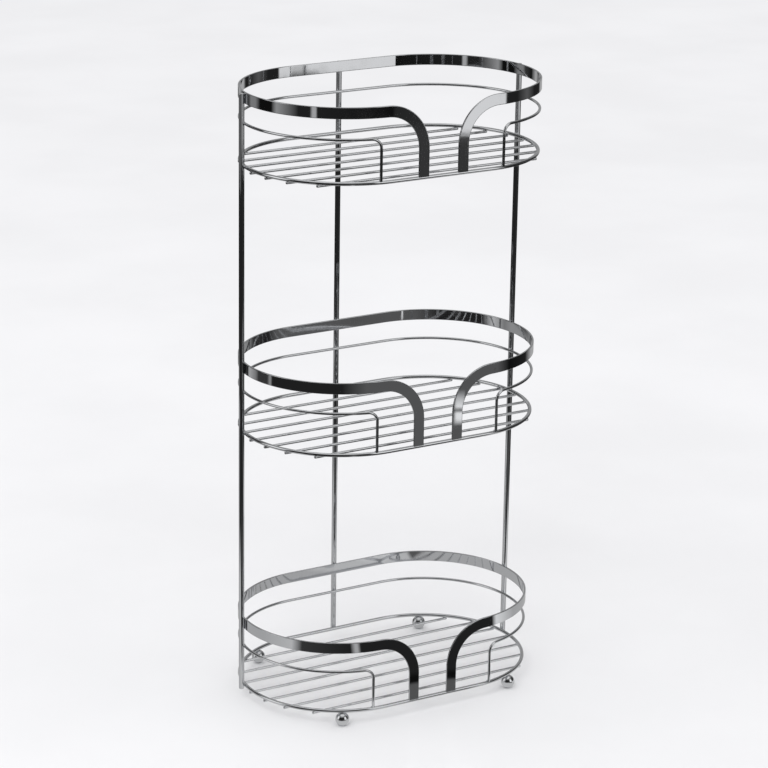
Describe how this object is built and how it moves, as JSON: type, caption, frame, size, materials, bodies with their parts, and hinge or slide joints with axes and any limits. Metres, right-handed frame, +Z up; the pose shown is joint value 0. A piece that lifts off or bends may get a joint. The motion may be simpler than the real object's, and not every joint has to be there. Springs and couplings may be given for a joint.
{
  "type": "bathroom caddy",
  "caption": "Freestanding bathroom caddy in chromed wire: stacked stadium-shaped baskets with flat guard bands, low front gaps, outside posts and ball feet.",
  "frame": {"origin": "on the floor under the middle of the caddy's bounding box", "axes": "+Z up along the posts, +X to the right along the floor wires, +Y to the back, where the third post stands"},
  "size_m": [0.3434, 0.2226, 0.6753],
  "materials": {
    "wire": "bright chrome plate on wire",
    "band": "mirror chrome plate on flat strip",
    "ball": "mirror chrome plate"
  },
  "bodies": {
    "root": {"back_left_foot": "ball", "back_post": "wire", "back_right_foot": "ball", "bottom_band": "band", "bottom_floor_wire_1": "wire", "bottom_floor_wire_2": "wire", "bottom_floor_wire_3": "wire", "bottom_floor_wire_4": "wire", "bottom_floor_wire_5": "wire", "bottom_floor_wire_6": "wire", "bottom_floor_wire_7": "wire", "bottom_rail": "wire", "bottom_rim": "wire", "front_left_foot": "ball", "front_right_foot": "ball", "left_post": "wire", "middle_band": "band", "middle_floor_wire_1": "wire", "middle_floor_wire_2": "wire", "middle_floor_wire_3": "wire", "middle_floor_wire_4": "wire", "middle_floor_wire_5": "wire", "middle_floor_wire_6": "wire", "middle_floor_wire_7": "wire", "middle_rail": "wire", "middle_rim": "wire", "right_post": "wire", "top_band": "band", "top_floor_wire_1": "wire", "top_floor_wire_2": "wire", "top_floor_wire_3": "wire", "top_floor_wire_4": "wire", "top_floor_wire_5": "wire", "top_floor_wire_6": "wire", "top_floor_wire_7": "wire", "top_rail": "wire", "top_rim": "wire"}
  },
  "joints": []
}
